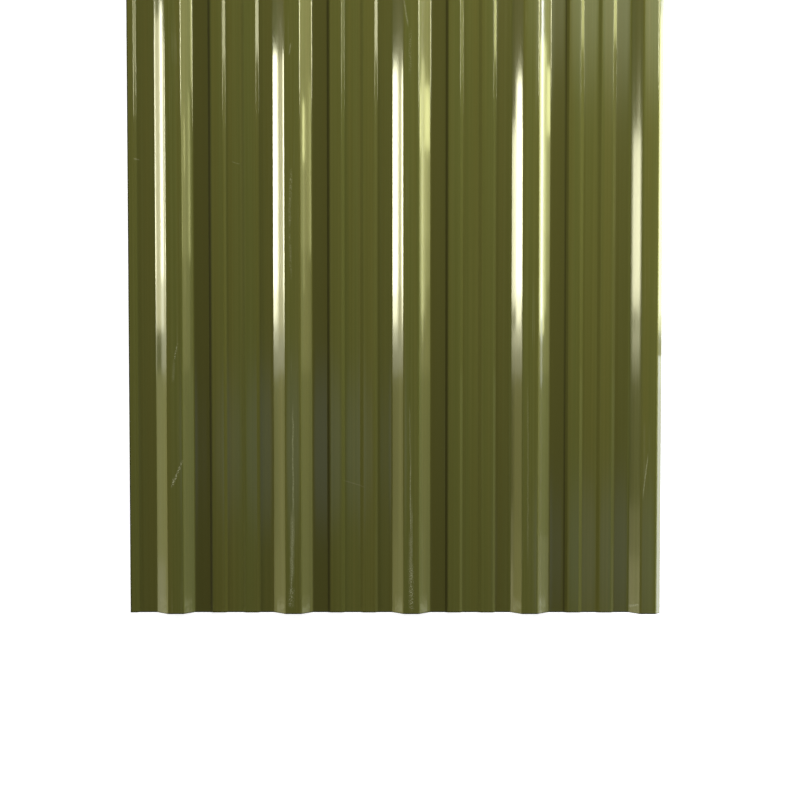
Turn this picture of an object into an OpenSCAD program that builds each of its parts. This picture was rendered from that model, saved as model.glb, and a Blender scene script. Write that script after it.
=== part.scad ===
// Roll-formed steel roofing sheet with trapezoidal ribs.
// Main ribs run the length of the sheet, and two low stiffening ribs are pressed into
// each pan between them. One edge ends in a flat underlap leg with a lip, the other in
// a cut rib flank that laps over the first rib of the next sheet.
// X runs across the ribs, Y along them and Z up. The origin is at the middle of the
// sheet, on the plane that the pans rest on.

/* [Sheet] */
// Length of the sheet along its ribs
sheet_length = 2438.4; // [600:0.1:6000]
// Thickness of the coated steel
sheet_thickness = 0.5; // [0.3:0.01:1]

/* [Main ribs] */
// Number of main ribs across the sheet
rib_count = 5; // [2:1:8]
// Distance between the centres of neighbouring main ribs
rib_pitch = 228.6; // [190:0.1:320]
// Height of a main rib above the pans
rib_height = 19.05; // [12:0.05:40]
// Width of a main rib where it rises from the pan
rib_base_width = 74.4; // [60:0.1:100]
// Width of the flat top of a main rib
rib_top_width = 29; // [18:0.1:48]
// Radius of the bends of a main rib, at the middle of the steel
rib_bend_radius = 5; // [1:0.1:8]

/* [Stiffening ribs] */
// Height of a stiffening rib above the pan
stiffener_height = 3.2; // [1:0.1:8]
// Width of a stiffening rib where it rises from the pan
stiffener_base_width = 33; // [26:0.1:44]
// Width of the flat top of a stiffening rib
stiffener_top_width = 22; // [10:0.1:30]
// Distance between the centres of the two stiffening ribs of a pan
stiffener_spacing = 62.4; // [50:0.1:100]
// Radius of the bends of a stiffening rib, at the middle of the steel
stiffener_bend_radius = 1.5; // [1:0.1:4]

/* [Side laps] */
// Width of the flat of the underlap leg, from the first main rib to its lip
underlap_flat = 29.4; // [15:0.1:60]
// Width of the top of the lip that ends the underlap leg
underlap_lip = 16.7; // [5:0.1:30]
// Drop of the last rib's outer flank from the rib's top to its cut edge
overlap_drop = 8.6; // [3:0.1:11]

/* [Hidden] */
// Flat facets around one bend
bend_facets = 4;
// Width of a flank seen from above, on a main rib and on a stiffening rib
rib_run = (rib_base_width - rib_top_width) / 2;
stiffener_run = (stiffener_base_width - stiffener_top_width) / 2;
// Width of the last rib's cut flank seen from above
overlap_run = rib_run * overlap_drop / rib_height;
// Reach of the cut edge's upper corner past the middle of the steel
overlap_corner = sheet_thickness / 2 * rib_height / norm([rib_run, rib_height]);
// Reach of each edge from the centre of the main rib beside it
underlap_reach = rib_base_width / 2 + underlap_flat + stiffener_run + underlap_lip;
overlap_reach = rib_top_width / 2 + overlap_run + overlap_corner;
sheet_width = underlap_reach + (rib_count - 1) * rib_pitch + overlap_reach;
first_rib_x = underlap_reach - sheet_width / 2;
last_rib_x = first_rib_x + (rib_count - 1) * rib_pitch;

// Vector v at unit length
function unit(v) = v / norm(v);

// Vector v after a quarter turn to the left
function left_of(v) = [-v.y, v.x];

// Vector v after a turn to the left by an angle
function turned(v, angle) =
    [v.x * cos(angle) - v.y * sin(angle), v.x * sin(angle) + v.y * cos(angle)];

// Angle to the left from vector u to vector v
function turn_between(u, v) = atan2(u.x * v.y - u.y * v.x, u * v);

// Four corners of a trapezoidal rib around x, each with the radius of its bend
function rib(x, base_width, top_width, height, radius) = [
    [[x - base_width / 2, 0], radius],
    [[x - top_width / 2, height], radius],
    [[x + top_width / 2, height], radius],
    [[x + base_width / 2, 0], radius]
];

function main_rib(x) =
    rib(x, rib_base_width, rib_top_width, rib_height, rib_bend_radius);

function stiffener(x) =
    rib(x, stiffener_base_width, stiffener_top_width, stiffener_height, stiffener_bend_radius);

// Corners of one main rib and of the two stiffening ribs in the pan on its right
function rib_and_pan(x) = let (pan_x = x + rib_pitch / 2) concat(
    main_rib(x),
    stiffener(pan_x - stiffener_spacing / 2),
    stiffener(pan_x + stiffener_spacing / 2)
);

// Corners of the underlap leg, from its free edge to the flat beside the first rib
function underlap_leg() = let (lip_foot_x = first_rib_x - rib_base_width / 2 - underlap_flat) [
    [[first_rib_x - underlap_reach, stiffener_height], 0],
    [[lip_foot_x - stiffener_run, stiffener_height], stiffener_bend_radius],
    [[lip_foot_x, 0], stiffener_bend_radius]
];

// Corners of the last rib, whose outer flank is cut short
function overlap_rib() = let (full = main_rib(last_rib_x)) [
    full[0],
    full[1],
    full[2],
    [full[2][0] + [overlap_run, -overlap_drop], 0]
];

// Middle line of the steel before it is rounded, from left to right
corners = concat(
    underlap_leg(),
    [for (i = [0:rib_count - 2]) each rib_and_pan(first_rib_x + i * rib_pitch)],
    overlap_rib()
);

// Points of the middle line around one bend, each with its upward normal
function bend(before, corner, after, radius) =
    let (
        entry = unit(corner - before),
        turn = turn_between(entry, after - corner),
        start = corner - entry * radius * tan(abs(turn) / 2),
        centre = start + left_of(entry) * sign(turn) * radius
    )
    [for (i = [0:bend_facets])
        let (normal = turned(left_of(entry), turn * i / bend_facets))
            [centre - normal * sign(turn) * radius, normal]];

// One free edge of the middle line, with its upward normal
function edge(point, direction) = [point, left_of(unit(direction))];

last = len(corners) - 1;
middle_line = concat(
    [edge(corners[0][0], corners[1][0] - corners[0][0])],
    [for (i = [1:last - 1])
        each bend(corners[i - 1][0], corners[i][0], corners[i + 1][0], corners[i][1])],
    [edge(corners[last][0], corners[last][0] - corners[last - 1][0])]
);

// The middle line moved along its normals, with the pans' underside at zero
function steel_face(side) = [for (station = middle_line)
    station[0] + [0, sheet_thickness / 2] + station[1] * side * sheet_thickness / 2];

// Order that walks the upper face back from right to left
function reversed(points) = [for (i = [len(points) - 1:-1:0]) points[i]];

module ribbed_sheet() {
    color("DarkOliveGreen")
        rotate([90, 0, 0])
            linear_extrude(height = sheet_length, center = true)
                polygon(concat(steel_face(-1), reversed(steel_face(1))));
}

ribbed_sheet();
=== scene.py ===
"""Looks of an olive-painted, roll-formed roofing sheet, lying on a white studio floor.

X runs across the ribs, Y along them and Z up, in metres. The photograph looks almost straight
down on the end at -Y, with the sheet running out of the top of the picture.
"""

import math

import bpy
import numpy as np
from mathutils import Euler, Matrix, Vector


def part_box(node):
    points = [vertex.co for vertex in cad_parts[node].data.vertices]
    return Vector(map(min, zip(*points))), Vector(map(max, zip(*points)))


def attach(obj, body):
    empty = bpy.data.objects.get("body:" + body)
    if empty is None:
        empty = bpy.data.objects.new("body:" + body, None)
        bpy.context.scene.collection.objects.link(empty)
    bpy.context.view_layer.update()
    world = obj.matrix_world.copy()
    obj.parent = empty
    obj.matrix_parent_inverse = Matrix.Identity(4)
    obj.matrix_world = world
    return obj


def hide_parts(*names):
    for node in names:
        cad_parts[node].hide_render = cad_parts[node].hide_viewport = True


MM = 0.001
X_AXIS = (1, 0, 0)
Y_AXIS = (0, 1, 0)
Z_AXIS = (0, 0, 1)

# Section of the sheet, as in the part's source
SHEET_THICKNESS = 0.5 * MM
RIB_COUNT = 5
RIB_PITCH = 228.6 * MM
RIB_HEIGHT = 19.05 * MM
RIB_BASE_WIDTH = 74.4 * MM
RIB_TOP_WIDTH = 29 * MM
RIB_BEND_RADIUS = 5 * MM
STIFFENER_HEIGHT = 3.2 * MM
STIFFENER_BASE_WIDTH = 33 * MM
STIFFENER_TOP_WIDTH = 22 * MM
STIFFENER_SPACING = 62.4 * MM
STIFFENER_BEND_RADIUS = 1.5 * MM
UNDERLAP_FLAT = 29.4 * MM
UNDERLAP_LIP = 16.7 * MM
OVERLAP_DROP = 8.6 * MM
RIB_RUN = (RIB_BASE_WIDTH - RIB_TOP_WIDTH) / 2
STIFFENER_RUN = (STIFFENER_BASE_WIDTH - STIFFENER_TOP_WIDTH) / 2

# Small faults that the rolls left in each main rib: shift of the rib to the right, and for its
# left and right flank the outward shift of the foot and the inward bow
RIB_FAULTS = [
    {"move": 2.0 * MM, "shifts": (1.8 * MM, -2.7 * MM), "bows": (-0.28 * MM, 0.28 * MM)},
    {"move": 1.0 * MM, "shifts": (2.1 * MM, -0.7 * MM), "bows": (0.28 * MM, 0.28 * MM)},
    {"move": 0.3 * MM, "shifts": (-0.2 * MM, -0.1 * MM), "bows": (0.28 * MM, 0.28 * MM)},
    {"move": 0.8 * MM, "shifts": (-0.9 * MM, 1.8 * MM), "bows": (0.28 * MM, 0.5 * MM)},
    {"move": 0.8 * MM, "shifts": (-2.0 * MM, 0.0), "bows": (0.08 * MM, 0.0)},
]
# And in the two stiffening ribs of each pan: shift of each rib to the right, and outward shift of
# the left and right foot of both
PAN_FAULTS = [
    {"moves": (0.5 * MM, 2.1 * MM), "shifts": (1.0 * MM, 0.0)},
    {"moves": (0.5 * MM, 2.0 * MM), "shifts": (1.0 * MM, 0.0)},
    {"moves": (0.5 * MM, 2.1 * MM), "shifts": (1.0 * MM, 0.0)},
    {"moves": (3.4 * MM, 3.4 * MM), "shifts": (1.0 * MM, 0.8 * MM)},
]
# Shift of the underlap's lip to the right, and outward shift of its foot
LIP_MOVE = -4.5 * MM
LIP_SHIFT = -0.5 * MM
# Lift of the cut edge of the last flank
CUT_EDGE_LIFT = 1.2 * MM
# Slight waves along the steel: height, length along it, width across it and phase
ROLLED_WAVES = [
    (0.05 * MM, 0.41, 0.30, 0.4),
    (0.03 * MM, 0.23, 0.17, 2.1),
    (0.01 * MM, 0.11, 0.09, 4.0),
]

# Fineness of the mesh
BEND_STEPS = 6
FLAT_STEPS = 4
LENGTH_STEPS = 80
# Materials of its faces, in order
PAINTED, BACKED, SHEARED = 0, 1, 2

# Scratches and scuffs in the paint, and one painted glint, by the main rib they lie on or beside:
# start and end as places across from the rib's middle and along from the near end, then width, all
# in mm, strength and kind
SCRATCHES_AND_GLINT = [
    (1, (9, 524), (1, 488), 5.0, 0.5, "dotted"),
    (1, (1, 490), (-1, 450), 8.0, 0.15, "smooth"),
    (1, (16, 297), (-4, 247), 7.0, 0.8, "dotted"),
    (1, (0, 265), (-4, 247), 6.0, 0.9, "dotted"),
    (1, (112, 873), (127, 869), 3.0, 0.2, "smooth"),
    (1, (-76, 880), (-66, 877), 3.0, 0.3, "smooth"),
    (2, (-1, 1095), (-4, 1073), 3.5, 0.35, "smooth"),
    (2, (-1, 855), (-5, 740), 8.0, 0.4, "dotted"),
    (2, (-4, 740), (-2, 650), 7.0, 0.3, "dotted"),
    (2, (1, 400), (1, 180), 4.5, 0.45, "smooth"),
    (2, (0, 200), (-2, 60), 12.0, 0.4, "smooth"),
    (2, (-1, 90), (-3, 40), 4.0, 0.45, "smooth"),
    (2, (-2, 52), (-4, 14), 16.0, 0.55, "dotted"),
    (2, (98, 258), (139, 245), 3.0, 0.2, "smooth"),
    (3, (-14, 1180), (-6, 1129), 4.5, 0.35, "smooth"),
    (3, (-2, 1120), (-2, 1035), 8.0, 0.2, "dotted"),
    (3, (-3, 405), (-1, 280), 4.0, 0.2, "smooth"),
    (3, (-1.5, 300), (-0.5, 150), 3.6, 0.45, "smooth"),
    (3, (2, 220), (1, 40), 4.0, 0.25, "smooth"),
    (3, (-0.5, 160), (-0.5, 60), 11.0, 0.3, "smooth"),
    (3, (-0.5, 105), (1, 6), 15.0, 0.6, "dotted"),
    (4, (-4, 453), (-3, 105), 5.0, 0.15, "smooth"),
    (5, (-1, 309), (-10, 227), 3.0, 0.5, "smooth"),
    # This one is a painted glint across the flank near the end, where the steel curls slightly
    (5, (-33, 12), (-16, 18), 9.0, 0.8, "smooth"),
]
# Grain of each kind of scratch: cells of noise per metre, levels that the noise is graded between
# and the strengths that these become
SCRATCH_GRAINS = {
    "smooth": (600, (0.42, 0.58), (0.5, 1.0)),
    "dotted": (450, (0.48, 0.62), (0.05, 1.0)),
}
# How far a scratch strays sideways, and the shares of its length by which its fading ends reach
# out and in
SCRATCH_WOBBLE = 0.8 * MM
SCRATCH_OVERRUN = 0.1
SCRATCH_FADE = 0.2

# Noise in the coats: cells per metre across the sheet, then those along it as a share of these
FINE_STREAKS = (260, 0.004)
BROAD_STREAKS = (55, 0.006)
RUBBED_LINES = (320, 0.012)
BACKER_STREAKS = (200, 0.005)
GLOSS_CLOUDS = (3.0, 0.5)
# Cells per metre of the noise that is the same both ways
WOBBLE_CELLS = 40
RUBBED_PATCHES = 9
HAZE_PATCHES = 60
PAINT_PEEL = 420
BACKER_PATCHES = 30
SHEAR_GRAIN = 900
# Levels that a noise is graded between
NOISE_LEVELS = (0.3, 0.7)
BROAD_LEVELS = (0.35, 0.65)
WOBBLE_LEVELS = (0.2, 0.8)
RUBBED_LINE_LEVELS = (0.58, 0.75)
RUBBED_PATCH_LEVELS = (0.4, 0.65)
HAZE_LEVELS = (0.35, 0.6)
# Detail of the smoother noises
LOW_DETAIL = 2.0

# Colours of the coats, the streaked ones from their darker to their lighter shade
GREEN_PAINT = ((0.094, 0.098, 0.021, 1), (0.107, 0.110, 0.026, 1))
BROWN_PAINT = ((0.099, 0.096, 0.020, 1), (0.112, 0.108, 0.024, 1))
BACKER_COAT = ((0.36, 0.37, 0.36, 1), (0.46, 0.47, 0.45, 1))
BARE_EDGE = ((0.10, 0.10, 0.085, 1), (0.30, 0.30, 0.28, 1))
# Colours of the painted shade beside the main ribs and in the creases, of the pale marks with
# painted sheen and glint, and of the painted shade along the rim
FOOT_SHADE_COLOUR = (0.076, 0.072, 0.016, 1)
CREASE_SHADE_COLOUR = (0.045, 0.041, 0.010, 1)
PALE_MARK_AND_SHEEN_COLOUR = (0.40, 0.40, 0.24, 1)
RIM_SHADE_COLOUR = (0.020, 0.021, 0.010, 1)
# Least and most roughness of the coats, and what streaks and wear add to the paint's
PAINT_ROUGHNESS = (0.07, 0.10)
BACKER_ROUGHNESS = (0.42, 0.55)
EDGE_ROUGHNESS = (0.35, 0.6)
STREAK_ROUGHNESS = 0.02
WORN_ROUGHNESS = 0.5
# Slight orange peel, gloss and tint of the paint
PEEL_STRENGTH = 0.03
PEEL_DEPTH = 0.3 * MM
PAINT_IOR = 1.6
PAINT_TINT = (1.0, 0.98, 0.65, 1)
# Share of bare metal in the sheared edges
EDGE_METAL = 0.6

# Painted shade on the pan flats, right and left of a main rib
FOOT_SHADE_STRENGTHS = (0.8, 0.45)
FOOT_SHADE_SOFTNESS = 2.0 * MM
# Painted shade line in the crease at a stiffening rib's foot
CREASE_STRENGTH = 0.7
CREASE_WIDTH = 4.0 * MM
CREASE_SOFTNESS = 1.0 * MM
# Painted shade along the sheet's rim: full up to the first distance from its edge, gone at the
# second
RIM_STRENGTH = 0.8
RIM_FULL = 1.0 * MM
RIM_GONE = 2.6 * MM
# Rubbed lines on the main ribs' tops
RUBBED_STRENGTH = 0.12
RUBBED_DEPTH = 1.0 * MM
# Painted sheen on the flanks, a pale haze, with its least and most share in patches: full up to the
# first distance from the near end, gone at the second, and between two heights
HAZE_STRENGTH = 0.22
HAZE_SHARES = (0.3, 1.0)
HAZE_FULL = 6 * MM
HAZE_GONE = 42 * MM
HAZE_LOW = STIFFENER_HEIGHT + 2.0 * MM
HAZE_HIGH = RIB_HEIGHT - 1.5 * MM
HAZE_SOFTNESS = 1.0 * MM

# Photograph
IMAGE_SIZE = 800
FOCAL_PIXELS = 1250
SENSOR_WIDTH = 36
CAMERA_HEIGHT = 2.423
CAMERA_LEAN = 0.0826
# Place that the camera aims at, from the middle rib and from the near end
MIDDLE_RIB = RIB_COUNT // 2
AIM_FROM_RIB = -0.0214
AIM_FROM_END = 0.414
CAMERA_TURN = Euler((-math.atan2(CAMERA_LEAN, CAMERA_HEIGHT), 0, 0))

# Colours of the lights
WHITE = (1, 1, 1)
WARM = (0.97, 1, 0.66)
YELLOW = (1, 0.98, 0.5)
GREEN = (0.8, 1, 0.7)
CREAM = (1, 0.96, 0.78)
COOL = (0.68, 0.72, 1)
# Distances of the light panels from the sheet's side that they stand beside
LEFT_DISTANCE = 2.40
RIGHT_EDGE_DISTANCE = 0.05
RIGHT_DISTANCE = 0.75
RIGHT_FILL_DISTANCE = 1.00
FAR_RIGHT_DISTANCE = 1.50

# Floor
FLOOR_HALF = 8.0
FLOOR_DEPTH = 0.4 * MM
# Room that the sheet mirrors: its colours at the floor and up from the rise of a sight line
ROOM_LOW = (0.40, 0.40, 0.40, 1)
ROOM_HIGH = (0.03, 0.03, 0.03, 1)
ROOM_RISE = 0.65
# Pale places in the room: the pixel that mirrors them, across and down from the picture's middle,
# then their spread in degrees and their colour
GLOWS = [
    ((-100, 45), 5.0, (0.22, 0.30, 0.62, 1)),
    ((221, 153), 4.5, (0.22, 0.30, 0.62, 1)),
    ((270, -440), 7.0, (1.9, 2.1, 2.2, 1)),
]

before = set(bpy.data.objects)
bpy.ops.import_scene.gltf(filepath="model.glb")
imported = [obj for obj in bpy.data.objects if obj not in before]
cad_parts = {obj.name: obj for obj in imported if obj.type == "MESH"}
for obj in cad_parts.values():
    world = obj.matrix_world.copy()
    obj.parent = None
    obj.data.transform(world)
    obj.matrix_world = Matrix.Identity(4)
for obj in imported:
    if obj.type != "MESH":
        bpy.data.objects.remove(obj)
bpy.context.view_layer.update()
sheet_low, sheet_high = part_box("ribbed_sheet")
near_end = sheet_low.y
far_end = sheet_high.y
first_rib_x = sheet_low.x + RIB_BASE_WIDTH / 2 + UNDERLAP_FLAT + STIFFENER_RUN + UNDERLAP_LIP


def rib_x(index):
    return first_rib_x + index * RIB_PITCH


# Section


def rib_corners(x, base_width, top_width, height, radius, shifts, bows=(0.0, 0.0)):
    """Corners of one rib of the steel's middle line: place, bend radius and bow of the next flat."""
    return [
        (x - base_width / 2 - shifts[0], 0.0, radius, bows[0]),
        (x - top_width / 2, height, radius, 0.0),
        (x + top_width / 2, height, radius, bows[1]),
        (x + base_width / 2 + shifts[1], 0.0, radius, 0.0),
    ]


def main_rib(index):
    faults = RIB_FAULTS[index]
    return rib_corners(
        rib_x(index) + faults["move"],
        RIB_BASE_WIDTH,
        RIB_TOP_WIDTH,
        RIB_HEIGHT,
        RIB_BEND_RADIUS,
        faults["shifts"],
        faults["bows"],
    )


def stiffener(x, shifts):
    return rib_corners(
        x,
        STIFFENER_BASE_WIDTH,
        STIFFENER_TOP_WIDTH,
        STIFFENER_HEIGHT,
        STIFFENER_BEND_RADIUS,
        shifts,
    )


def section_corners():
    """Corners of the whole middle line, from the underlap's free edge to the overlap's cut edge."""
    lip_corner = sheet_low.x + UNDERLAP_LIP + LIP_MOVE
    lip_foot = lip_corner + STIFFENER_RUN + LIP_SHIFT
    corners = [
        (sheet_low.x, STIFFENER_HEIGHT, 0.0, 0.0),
        (lip_corner, STIFFENER_HEIGHT, STIFFENER_BEND_RADIUS, 0.0),
        (lip_foot, 0.0, STIFFENER_BEND_RADIUS, 0.0),
    ]
    for index in range(RIB_COUNT - 1):
        corners += main_rib(index)
        for side, move in zip((-1, 1), PAN_FAULTS[index]["moves"]):
            x = rib_x(index) + (RIB_PITCH + side * STIFFENER_SPACING) / 2 + move
            corners += stiffener(x, PAN_FAULTS[index]["shifts"])
    last_rib = main_rib(RIB_COUNT - 1)[:3]
    cut_x = last_rib[2][0] + RIB_RUN * OVERLAP_DROP / RIB_HEIGHT
    cut_z = RIB_HEIGHT - OVERLAP_DROP + CUT_EDGE_LIFT
    return corners + last_rib + [(cut_x, cut_z, 0.0, 0.0)]


def bend_stations(before, corner, after, radius):
    """Points and upward normals of the middle line around one bend."""
    entry = (corner - before) / np.linalg.norm(corner - before)
    leave = (after - corner) / np.linalg.norm(after - corner)
    turn = math.atan2(entry[0] * leave[1] - entry[1] * leave[0], float(entry @ leave))
    side = math.copysign(1.0, turn)
    left = np.array([-entry[1], entry[0]])
    start = corner - entry * radius * math.tan(abs(turn) / 2)
    centre = start + left * side * radius
    stations = []
    for step in range(BEND_STEPS + 1):
        angle = turn * step / BEND_STEPS
        normal = left * math.cos(angle) - entry * math.sin(angle)
        stations.append((centre - normal * side * radius, normal))
    return stations


def edge_station(point, direction):
    direction = direction / np.linalg.norm(direction)
    return point, np.array([-direction[1], direction[0]])


def middle_line():
    """Stations of the rounded middle line, with the flats between the bends divided and bowed."""
    corners = section_corners()
    points = [np.array(corner[:2]) for corner in corners]
    groups = [[edge_station(points[0], points[1] - points[0])]]
    for i in range(1, len(corners) - 1):
        groups.append(bend_stations(points[i - 1], points[i], points[i + 1], corners[i][2]))
    groups.append([edge_station(points[-1], points[-1] - points[-2])])
    stations = []
    for corner, here, there in zip(corners, groups, groups[1:]):
        stations += here
        start, normal = here[-1]
        end = there[0][0]
        for step in range(1, FLAT_STEPS):
            part = step / FLAT_STEPS
            bow = corner[3] * 4 * part * (1 - part)
            stations.append((start + (end - start) * part - normal * bow, normal))
    return stations + groups[-1]


# Rolled sheet


def rolled_waves(x, y):
    """Height of the slight waves that the rolls leave in the steel."""
    height = np.zeros_like(x)
    for size, length, width, phase in ROLLED_WAVES:
        along = np.sin(2 * math.pi * y / length + phase)
        across = np.sin(2 * math.pi * x / width + phase)
        height += size * (1 + along * across) / 2
    return height


def make_sheet():
    """The sheet as a closed mesh: painted face, backer-coated face and bare cut edges."""
    stations = middle_line()
    columns = len(stations)
    rows = LENGTH_STEPS + 1
    line = np.array([point for point, _ in stations])
    normals = np.array([normal for _, normal in stations])
    y = np.repeat(np.linspace(near_end, far_end, rows)[:, None], columns, axis=1)
    wave = rolled_waves(np.repeat(line[None, :, 0], rows, axis=0), y)
    middle_z = SHEET_THICKNESS / 2
    sides = []
    for side in (1, -1):
        offset = wave + side * SHEET_THICKNESS / 2
        x = line[None, :, 0] + offset * normals[None, :, 0]
        z = line[None, :, 1] + offset * normals[None, :, 1] + middle_z
        sides.append(np.stack([x, y, z], axis=-1).reshape(-1, 3))
    vertices = np.concatenate(sides)

    top = np.arange(rows * columns).reshape(rows, columns)
    low = top + rows * columns
    top_faces = np.stack([top[:-1, :-1], top[:-1, 1:], top[1:, 1:], top[1:, :-1]], axis=-1)
    low_faces = np.stack([low[:-1, :-1], low[1:, :-1], low[1:, 1:], low[:-1, 1:]], axis=-1)
    near_faces = np.stack([top[0, :-1], low[0, :-1], low[0, 1:], top[0, 1:]], axis=-1)
    far_faces = np.stack([top[-1, :-1], top[-1, 1:], low[-1, 1:], low[-1, :-1]], axis=-1)
    left_faces = np.stack([top[:-1, 0], top[1:, 0], low[1:, 0], low[:-1, 0]], axis=-1)
    right_faces = np.stack([top[:-1, -1], low[:-1, -1], low[1:, -1], top[1:, -1]], axis=-1)
    edge_faces = np.concatenate([near_faces, far_faces, left_faces, right_faces])
    top_faces = top_faces.reshape(-1, 4)
    low_faces = low_faces.reshape(-1, 4)
    faces = np.concatenate([top_faces, low_faces, edge_faces])
    counts = [len(top_faces), len(low_faces), len(edge_faces)]
    slots = np.repeat([PAINTED, BACKED, SHEARED], counts)

    mesh = bpy.data.meshes.new("painted_sheet")
    mesh.from_pydata(vertices.tolist(), [], faces.tolist())
    mesh.polygons.foreach_set("material_index", slots.astype(np.int32))
    mesh.polygons.foreach_set("use_smooth", slots != SHEARED)
    rim = set(edge_faces.ravel().tolist())
    for edge in mesh.edges:
        edge.use_edge_sharp = edge.vertices[0] in rim and edge.vertices[1] in rim
    mesh.update()
    sheet = bpy.data.objects.new("painted_sheet", mesh)
    bpy.context.scene.collection.objects.link(sheet)
    return sheet


# Nodes


class Nodes:
    """Short names for adding and joining the nodes of one tree."""

    def __init__(self, tree, coordinates):
        self.tree = tree
        self.place = tree.nodes.new("ShaderNodeTexCoord").outputs[coordinates]

    def plug(self, socket, value):
        if isinstance(value, bpy.types.NodeSocket):
            self.tree.links.new(value, socket)
        else:
            socket.default_value = value

    def add(self, kind, inputs, **settings):
        node = self.tree.nodes.new(kind)
        for key, value in settings.items():
            setattr(node, key, value)
        for key, value in inputs.items():
            self.plug(node.inputs[key], value)
        return node

    def math(self, operation, *values):
        node = self.add("ShaderNodeMath", dict(enumerate(values)), operation=operation)
        return node.outputs[0]

    def fold(self, operation, first, *others):
        """All the values taken together, two at a time."""
        for other in others:
            first = self.math(operation, first, other)
        return first

    def dot(self, vector, direction):
        inputs = {0: vector, 1: direction}
        node = self.add("ShaderNodeVectorMath", inputs, operation="DOT_PRODUCT")
        return node.outputs["Value"]

    def noise(self, cells, along=1, detail=3.0):
        """Noise of so many cells per metre, and of a share of them along the sheet."""
        mapped = self.add("ShaderNodeMapping", {"Vector": self.place, "Scale": (1, along, 1)})
        inputs = {"Vector": mapped.outputs[0], "Scale": cells, "Detail": detail}
        return self.add("ShaderNodeTexNoise", inputs).outputs["Fac"]

    def remap(self, value, low, high, out_low=0.0, out_high=1.0):
        inputs = {0: value, 1: low, 2: high, 3: out_low, 4: out_high}
        node = self.add("ShaderNodeMapRange", inputs, interpolation_type="SMOOTHSTEP")
        return node.outputs[0]

    def band(self, value, low, high, soft):
        """Mask of the values between two others, with soft ends."""
        after = self.remap(value, low - soft, low + soft)
        before = self.remap(value, high + soft, high - soft)
        return self.math("MULTIPLY", after, before)

    def mix(self, factor, first, second):
        node = self.add("ShaderNodeMix", {0: factor}, data_type="RGBA")
        first_socket, second_socket = [s for s in node.inputs if s.type == "RGBA"]
        self.plug(first_socket, first)
        self.plug(second_socket, second)
        return next(s for s in node.outputs if s.type == "RGBA")

    def stroke(self, start, end, width, wobble):
        """Mask of a thin stroke between two places on the sheet, ragged and faded at its ends."""
        along = (end - start).normalized()
        length = (end - start).length
        inputs = {0: self.place, 1: (start.x, start.y, 0)}
        moved = self.add("ShaderNodeVectorMath", inputs, operation="SUBTRACT").outputs[0]
        run = self.dot(moved, (along.x, along.y, 0))
        side = self.math("ADD", self.dot(moved, (-along.y, along.x, 0)), wobble)
        core = self.remap(self.math("ABSOLUTE", side), width / 2, 0.0)
        overrun = SCRATCH_OVERRUN * length
        fade = SCRATCH_FADE * length
        begin = self.remap(run, -overrun, fade)
        stop = self.remap(run, length + overrun, length - fade)
        return self.fold("MULTIPLY", core, begin, stop)


def new_material(name):
    material = bpy.data.materials.new(name)
    material.use_nodes = True
    tree = material.node_tree
    return material, Nodes(tree, "Object"), tree.nodes["Principled BSDF"].inputs


# Marks on the paint, and painted shade, sheen and glint


def scratches_and_glint(nodes):
    """Mask of all the scratches and scuffs, and of one painted glint."""
    waver = nodes.noise(WOBBLE_CELLS, detail=LOW_DETAIL)
    wobble = nodes.remap(waver, *WOBBLE_LEVELS, -SCRATCH_WOBBLE, SCRATCH_WOBBLE)
    grains = {}
    for kind, (cells, levels, strengths) in SCRATCH_GRAINS.items():
        grains[kind] = nodes.remap(nodes.noise(cells), *levels, *strengths)
    mask = 0.0
    for rib, start, end, width, strength, kind in SCRATCHES_AND_GLINT:
        places = []
        for across, from_end in (start, end):
            places.append(Vector((rib_x(rib - 1) + across * MM, near_end + from_end * MM)))
        stroke = nodes.stroke(*places, width * MM, wobble)
        mask = nodes.math("MAXIMUM", nodes.fold("MULTIPLY", stroke, strength, grains[kind]), mask)
    return mask


def rub_marks(nodes):
    """Mask of faint marks along the rib tops, where stacked sheets slid on them."""
    height = nodes.dot(nodes.place, Z_AXIS)
    on_ribs = nodes.remap(height, RIB_HEIGHT - RUBBED_DEPTH, RIB_HEIGHT)
    streaks = nodes.noise(*RUBBED_LINES)
    lines = nodes.remap(streaks, *RUBBED_LINE_LEVELS, 0.0, RUBBED_STRENGTH)
    patches = nodes.remap(nodes.noise(RUBBED_PATCHES), *RUBBED_PATCH_LEVELS)
    return nodes.fold("MULTIPLY", on_ribs, lines, patches)


def painted_end_sheen(nodes):
    """Mask of the painted sheen, pale patches on the rib flanks at the sheet's near end."""
    flanks = nodes.band(nodes.dot(nodes.place, Z_AXIS), HAZE_LOW, HAZE_HIGH, HAZE_SOFTNESS)
    y = nodes.dot(nodes.place, Y_AXIS)
    near = nodes.remap(y, near_end + HAZE_GONE, near_end + HAZE_FULL, 0.0, HAZE_STRENGTH)
    patches = nodes.remap(nodes.noise(HAZE_PATCHES), *HAZE_LEVELS, *HAZE_SHARES)
    return nodes.fold("MULTIPLY", flanks, near, patches)


def painted_rim_shade(nodes):
    """Mask of the painted shade in a thin dark line along the sheared ends and the free edge of the
    underlap.
    """
    x = nodes.dot(nodes.place, X_AXIS)
    y = nodes.dot(nodes.place, Y_AXIS)
    near = nodes.remap(y, near_end + RIM_GONE, near_end + RIM_FULL)
    far = nodes.remap(y, far_end - RIM_GONE, far_end - RIM_FULL)
    left = nodes.remap(x, sheet_low.x + RIM_GONE, sheet_low.x + RIM_FULL)
    return nodes.math("MULTIPLY", nodes.fold("MAXIMUM", near, far, left), RIM_STRENGTH)


def across_pan(nodes):
    """Place across a pan, from the middle of the main rib on its left."""
    from_first = nodes.math("SUBTRACT", nodes.dot(nodes.place, X_AXIS), first_rib_x)
    return nodes.math("FLOORED_MODULO", from_first, RIB_PITCH)


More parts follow.
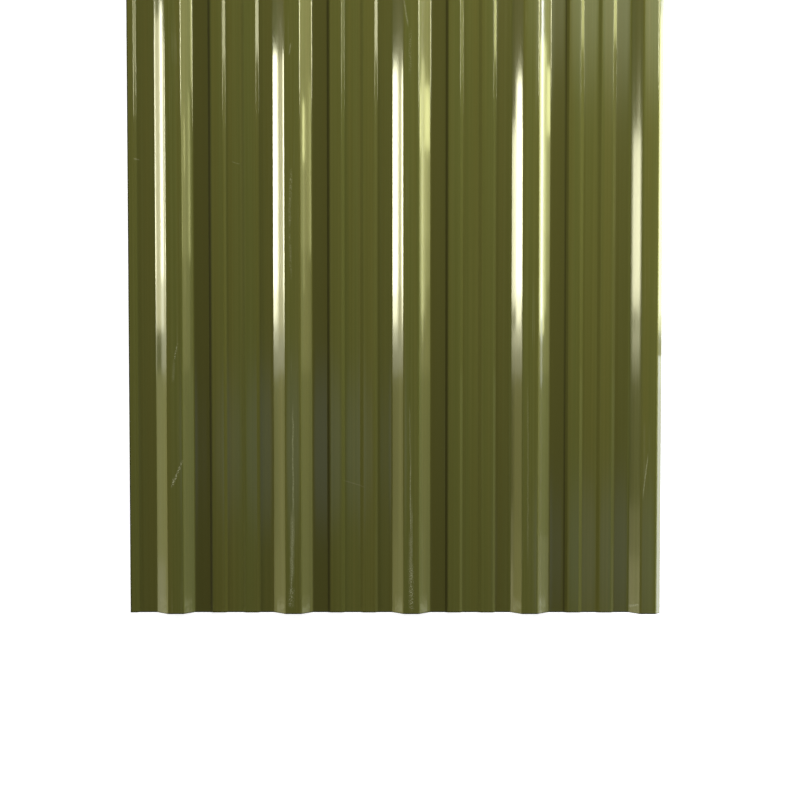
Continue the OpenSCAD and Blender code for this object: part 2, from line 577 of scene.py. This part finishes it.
def painted_foot_shade(nodes):
    """Mask of the painted shade on the pan flats beside the main ribs, heavier on a rib's right."""
    across = across_pan(nodes)
    foot = RIB_BASE_WIDTH / 2
    flat = (RIB_PITCH - RIB_BASE_WIDTH - STIFFENER_SPACING - STIFFENER_BASE_WIDTH) / 2
    next_foot = RIB_PITCH - foot
    flats = ((foot, foot + flat), (next_foot - flat, next_foot))
    masks = []
    for (start, end), strength in zip(flats, FOOT_SHADE_STRENGTHS):
        band = nodes.band(across, start, end, FOOT_SHADE_SOFTNESS)
        masks.append(nodes.math("MULTIPLY", band, strength))
    return nodes.math("MAXIMUM", *masks)


def painted_crease_shade(nodes):
    """Mask of the painted shade line along the foot of the first stiffening rib of each pan."""
    foot = (RIB_PITCH - STIFFENER_SPACING - STIFFENER_BASE_WIDTH) / 2
    line = nodes.band(across_pan(nodes), foot, foot + CREASE_WIDTH, CREASE_SOFTNESS)
    return nodes.math("MULTIPLY", line, CREASE_STRENGTH)


# Materials


def paint_material():
    """Glossy olive polyester paint with rolling streaks, worn marks, painted shade beside the ribs,
    in the creases and along the rim, and a painted sheen and glint.
    """
    material, nodes, shader = new_material("olive_paint")
    fine = nodes.noise(*FINE_STREAKS)
    broad = nodes.noise(*BROAD_STREAKS)
    fine_tone = nodes.remap(fine, *NOISE_LEVELS)
    green = nodes.mix(fine_tone, *GREEN_PAINT)
    brown = nodes.mix(fine_tone, *BROWN_PAINT)
    paint = nodes.mix(nodes.remap(broad, *BROAD_LEVELS), green, brown)
    # Painted shade on the pan flats beside the main ribs
    paint = nodes.mix(painted_foot_shade(nodes), paint, FOOT_SHADE_COLOUR)
    # Painted shade in the crease at the first stiffening rib's foot
    paint = nodes.mix(painted_crease_shade(nodes), paint, CREASE_SHADE_COLOUR)
    # Pale scratches and rub marks, with one painted glint and the painted sheen at the near end
    worn_and_sheen = nodes.fold("MAXIMUM", scratches_and_glint(nodes), rub_marks(nodes), painted_end_sheen(nodes))
    paint = nodes.mix(worn_and_sheen, paint, PALE_MARK_AND_SHEEN_COLOUR)
    # Painted shade along the sheet's rim
    paint = nodes.mix(painted_rim_shade(nodes), paint, RIM_SHADE_COLOUR)
    nodes.plug(shader["Base Color"], paint)
    clouds = nodes.remap(nodes.noise(*GLOSS_CLOUDS), *NOISE_LEVELS, *PAINT_ROUGHNESS)
    streaks = nodes.remap(fine, *NOISE_LEVELS, 0.0, STREAK_ROUGHNESS)
    rough = nodes.math("ADD", clouds, streaks)
    nodes.plug(shader["Roughness"], nodes.math("MULTIPLY_ADD", worn_and_sheen, WORN_ROUGHNESS, rough))
    peel = nodes.noise(PAINT_PEEL, detail=LOW_DETAIL)
    inputs = {"Height": peel, "Strength": PEEL_STRENGTH, "Distance": PEEL_DEPTH}
    bump = nodes.add("ShaderNodeBump", inputs)
    nodes.plug(shader["Normal"], bump.outputs[0])
    shader["IOR"].default_value = PAINT_IOR
    shader["Specular Tint"].default_value = PAINT_TINT
    return material


def backer_material():
    """Pale grey backer coat of the underside."""
    material, nodes, shader = new_material("grey_backer_coat")
    nodes.plug(shader["Base Color"], nodes.mix(nodes.noise(*BACKER_STREAKS), *BACKER_COAT))
    rough = nodes.remap(nodes.noise(BACKER_PATCHES), *NOISE_LEVELS, *BACKER_ROUGHNESS)
    nodes.plug(shader["Roughness"], rough)
    return material


def edge_material():
    """Sheared edge, where the zinc and steel show between the coats."""
    material, nodes, shader = new_material("sheared_edge")
    shear = nodes.noise(SHEAR_GRAIN)
    nodes.plug(shader["Base Color"], nodes.mix(shear, *BARE_EDGE))
    nodes.plug(shader["Roughness"], nodes.remap(shear, *NOISE_LEVELS, *EDGE_ROUGHNESS))
    shader["Metallic"].default_value = EDGE_METAL
    return material


def floor_material():
    """White studio floor that stays white up to the sheet's edge."""
    material, _, shader = new_material("white_floor")
    shader["Base Color"].default_value = (0.85, 0.85, 0.85, 1)
    shader["Roughness"].default_value = 0.9
    shader["Emission Color"].default_value = (1, 1, 1, 1)
    shader["Emission Strength"].default_value = 0.75
    return material


# Studio


def make_floor():
    corners = []
    for x, y in ((-1, -1), (1, -1), (1, 1), (-1, 1)):
        corners.append((x * FLOOR_HALF, y * FLOOR_HALF, -FLOOR_DEPTH))
    mesh = bpy.data.meshes.new("floor")
    mesh.from_pydata(corners, [], [(0, 1, 2, 3)])
    mesh.materials.append(floor_material())
    floor = bpy.data.objects.new("floor", mesh)
    bpy.context.scene.collection.objects.link(floor)


def make_softbox(name, centre, target, width, height, radiance, colour):
    """A flat, evenly bright panel that faces the target."""
    light = bpy.data.lights.new(name, "AREA")
    light.shape = "RECTANGLE"
    light.size = width
    light.size_y = height
    light.energy = radiance * math.pi * width * height
    light.color = colour
    lamp = bpy.data.objects.new(name, light)
    lamp.location = centre
    lamp.rotation_euler = (Vector(target) - Vector(centre)).to_track_quat("-Z", "Y").to_euler()
    bpy.context.scene.collection.objects.link(lamp)


def make_side_panel(name, x, from_end, height, radiance, colour):
    """An upright panel beside the sheet, over a stretch from its near end and a range of heights."""
    y = near_end + sum(from_end) / 2
    z = sum(height) / 2
    long = from_end[1] - from_end[0]
    tall = height[1] - height[0]
    make_softbox(name, (x, y, z), (0, y, z), long, tall, radiance, colour)


def make_lights():
    """Panels beside the sheet that its flanks mirror, and softboxes above it."""
    left = sheet_low.x - LEFT_DISTANCE
    right_edge = sheet_high.x + RIGHT_EDGE_DISTANCE
    right = sheet_high.x + RIGHT_DISTANCE
    right_fill = sheet_high.x + RIGHT_FILL_DISTANCE
    far_right = sheet_high.x + FAR_RIGHT_DISTANCE
    # Each panel's place across, stretch from the near end, range of heights, radiance and colour
    panels = [
        ("left_foot", left, (0.60, 1.80), (0.0, 0.18), 5.8, CREAM),
        ("left_low", left, (0.80, 1.86), (0.18, 0.31), 22, WHITE),
        ("left_middle_low", left, (0.60, 1.72), (0.31, 0.50), 4.5, CREAM),
        ("left_low_end", left, (0.60, 0.80), (0.18, 0.31), 10, WHITE),
        ("left_low_tip", left, (0.44, 0.60), (0.18, 0.50), 3, WHITE),
        ("left_middle", left, (0.78, 1.74), (0.50, 0.78), 34, WHITE),
        ("left_middle_end", left, (0.64, 0.78), (0.50, 0.78), 18, WHITE),
        ("left_high", left, (0.72, 1.54), (0.78, 1.05), 15, WHITE),
        ("left_high_end", left, (0.54, 0.64), (0.50, 1.05), 6, WHITE),
        ("left_high_tip", left, (0.42, 0.54), (0.50, 1.05), 2.6, WHITE),
        ("left_fill_low", left, (-0.30, 0.44), (0.0, 0.45), 1.1, YELLOW),
        ("left_fill", left, (-0.30, 0.44), (0.45, 0.90), 0.8, YELLOW),
        ("left_front_low", left, (-1.20, -0.30), (0.0, 0.32), 1.6, CREAM),
        ("left_front", left, (-1.20, -0.30), (0.32, 0.90), 1.0, YELLOW),
        ("left_front_rise", left, (-0.45, -0.20), (0.90, 1.25), 0.9, CREAM),
        ("left_front_high", left, (-1.20, -0.45), (0.90, 1.25), 1.9, CREAM),
        ("right_edge_strip", right_edge, (-0.3, 0.50), (0.012, 0.026), 8, COOL),
        ("right_strip_low", right, (0.60, 1.60), (0.02, 0.10), 24, COOL),
        ("right_strip_low_end", right, (0.54, 0.60), (0.02, 0.10), 10, COOL),
        ("right_strip_low_tip", right, (0.42, 0.54), (0.02, 0.10), 4, COOL),
        ("right_edge_haze", right_edge, (-0.20, 0.03), (0.026, 0.056), 0.4, WHITE),
        ("right_edge_haze_wide", right_edge, (-0.20, 0.07), (0.022, 0.064), 0.4, WHITE),
        ("right_edge_haze_faint", right_edge, (-0.20, 0.11), (0.018, 0.072), 0.35, WHITE),
        ("right_strip", right, (0.56, 1.35), (0.10, 0.145), 9.5, WARM),
        ("right_strip_middle", right, (0.62, 1.35), (0.145, 0.195), 4.4, WARM),
        ("right_strip_high", right, (1.10, 1.28), (0.195, 0.30), 11, WARM),
        ("right_strip_end", right, (0.70, 1.10), (0.195, 0.30), 1.4, WARM),
        ("right_fill", right_fill, (0.85, 1.9), (0.0, 0.52), 1.6, WARM),
        ("right_fill_low", right_fill, (0.45, 0.85), (0.0, 0.52), 0.92, WARM),
        ("right_fill_end", right_fill, (-0.6, 0.45), (0.0, 0.9), 0.33, GREEN),
        ("right_far_foot", far_right, (0.88, 1.52), (0.615, 0.68), 5, WARM),
        ("right_far_low", far_right, (1.55, 2.4), (0.74, 0.91), 9, WARM),
        ("right_far_high", far_right, (1.65, 2.5), (1.10, 1.27), 12, WHITE),
        ("right_far_top", far_right, (1.75, 2.5), (1.58, 1.86), 8, WHITE),
    ]
    for panel in panels:
        make_side_panel(*panel)
    # Each softbox's centre and target, counted along from the near end, width, height and radiance
    softboxes = [
        ("right_key", (1.60, 2.3, 2.2), (0.2, 1.8, 0), 1.5, 0.45, 40),
        ("top_softbox", (1.3, 3.0, 2.1), (0.2, 0.8, 0), 1.0, 0.8, 7),
        ("front_softbox", (0.3, -1.6, 1.9), (0.2, 0.8, 0), 1.2, 0.8, 2),
    ]
    end = Vector((0, near_end, 0))
    for name, centre, target, width, height, radiance in softboxes:
        centre = end + Vector(centre)
        target = end + Vector(target)
        make_softbox(name, centre, target, width, height, radiance, WHITE)


def mirrored(across, down):
    """Direction that a flat pan mirrors at a place in the picture, in pixels from its middle."""
    sight = Vector((across, -down, -FOCAL_PIXELS))
    sight.rotate(CAMERA_TURN)
    return Vector((sight.x, sight.y, -sight.z)).normalized()


def make_world():
    """White room to the camera, and a dim room with a few pale places to everything else."""
    world = bpy.data.worlds.new("studio")
    bpy.context.scene.world = world
    world.use_nodes = True
    tree = world.node_tree
    nodes = Nodes(tree, "Generated")
    rise = nodes.dot(nodes.place, Z_AXIS)
    room = nodes.mix(nodes.remap(rise, 0.0, ROOM_RISE), ROOM_LOW, ROOM_HIGH)
    for pixel, spread, colour in GLOWS:
        edge = math.cos(math.radians(spread))
        near = nodes.remap(nodes.dot(nodes.place, mirrored(*pixel)), edge, 1.0)
        room = nodes.mix(near, room, colour)
    dim = tree.nodes["Background"]
    nodes.plug(dim.inputs["Color"], room)
    white = nodes.add("ShaderNodeBackground", {"Color": (1, 1, 1, 1)})
    path = nodes.add("ShaderNodeLightPath", {})
    seen = path.outputs["Is Camera Ray"]
    both = nodes.add("ShaderNodeMixShader", {0: seen, 1: dim.outputs[0], 2: white.outputs[0]})
    nodes.plug(tree.nodes["World Output"].inputs["Surface"], both.outputs[0])


def make_camera():
    data = bpy.data.cameras.new("camera")
    data.sensor_width = SENSOR_WIDTH
    data.lens = SENSOR_WIDTH * FOCAL_PIXELS / IMAGE_SIZE
    camera = bpy.data.objects.new("camera", data)
    aim = Vector((rib_x(MIDDLE_RIB) + AIM_FROM_RIB, near_end + AIM_FROM_END, 0))
    camera.location = aim + Vector((0, CAMERA_LEAN, CAMERA_HEIGHT))
    camera.rotation_euler = CAMERA_TURN
    bpy.context.scene.collection.objects.link(camera)
    bpy.context.scene.camera = camera


make_camera()
make_floor()
make_world()
make_lights()
bpy.context.scene.view_settings.view_transform = "Standard"

sheet = make_sheet()
for material in (paint_material(), backer_material(), edge_material()):
    sheet.data.materials.append(material)
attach(sheet, "root")
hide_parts("ribbed_sheet")
